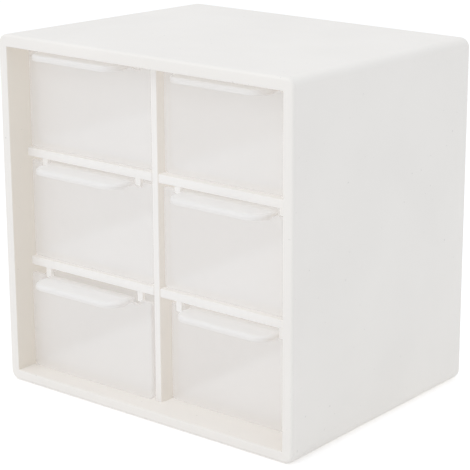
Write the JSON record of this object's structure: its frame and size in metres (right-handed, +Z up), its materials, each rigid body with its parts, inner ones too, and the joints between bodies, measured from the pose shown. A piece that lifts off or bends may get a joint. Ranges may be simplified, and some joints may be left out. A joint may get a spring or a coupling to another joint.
{
  "type": "desktop drawer tower",
  "caption": "White plastic desktop drawer tower: frosted clear drawers with lip handles slide in the bays of an open-fronted casing.",
  "frame": {"origin": "middle of the casing's base, on the surface it stands on", "axes": "+Z up, -Y towards the drawers' fronts, +X to the right seen from the front"},
  "size_m": [0.168, 0.1365, 0.1649],
  "materials": {
    "casing_white": "satin",
    "lattice_white": "satin",
    "back_panel_white": "satin",
    "drawer_frosted": "satin"
  },
  "bodies": {
    "casing": {"casing": "casing_white", "back_panel": "back_panel_white", "centre_divider": "lattice_white", "upper_shelf": "lattice_white", "lower_shelf": "lattice_white"},
    "drawer_top_left": {"drawer_top_left": "drawer_frosted"},
    "drawer_top_right": {"drawer_top_right": "drawer_frosted"},
    "drawer_middle_left": {"drawer_middle_left": "drawer_frosted"},
    "drawer_middle_right": {"drawer_middle_right": "drawer_frosted"},
    "drawer_bottom_left": {"drawer_bottom_left": "drawer_frosted"},
    "drawer_bottom_right": {"drawer_bottom_right": "drawer_frosted"}
  },
  "joints": [
    {"name": "top_left_slide", "type": "slide", "parent": "casing", "child": "drawer_top_left", "axis": [0, -1, 0], "range_m": [-0.0045, 0.107]},
    {"name": "top_right_slide", "type": "slide", "parent": "casing", "child": "drawer_top_right", "axis": [0, -1, 0], "range_m": [-0.003, 0.1085]},
    {"name": "middle_left_slide", "type": "slide", "parent": "casing", "child": "drawer_middle_left", "axis": [0, -1, 0], "range_m": [-0.0045, 0.107]},
    {"name": "middle_right_slide", "type": "slide", "parent": "casing", "child": "drawer_middle_right", "axis": [0, -1, 0], "range_m": [-0.004, 0.1075]},
    {"name": "bottom_left_slide", "type": "slide", "parent": "casing", "child": "drawer_bottom_left", "axis": [0, -1, 0], "range_m": [-0.007, 0.1045]},
    {"name": "bottom_right_slide", "type": "slide", "parent": "casing", "child": "drawer_bottom_right", "axis": [0, -1, 0], "range_m": [0, 0.1115]}
  ]
}
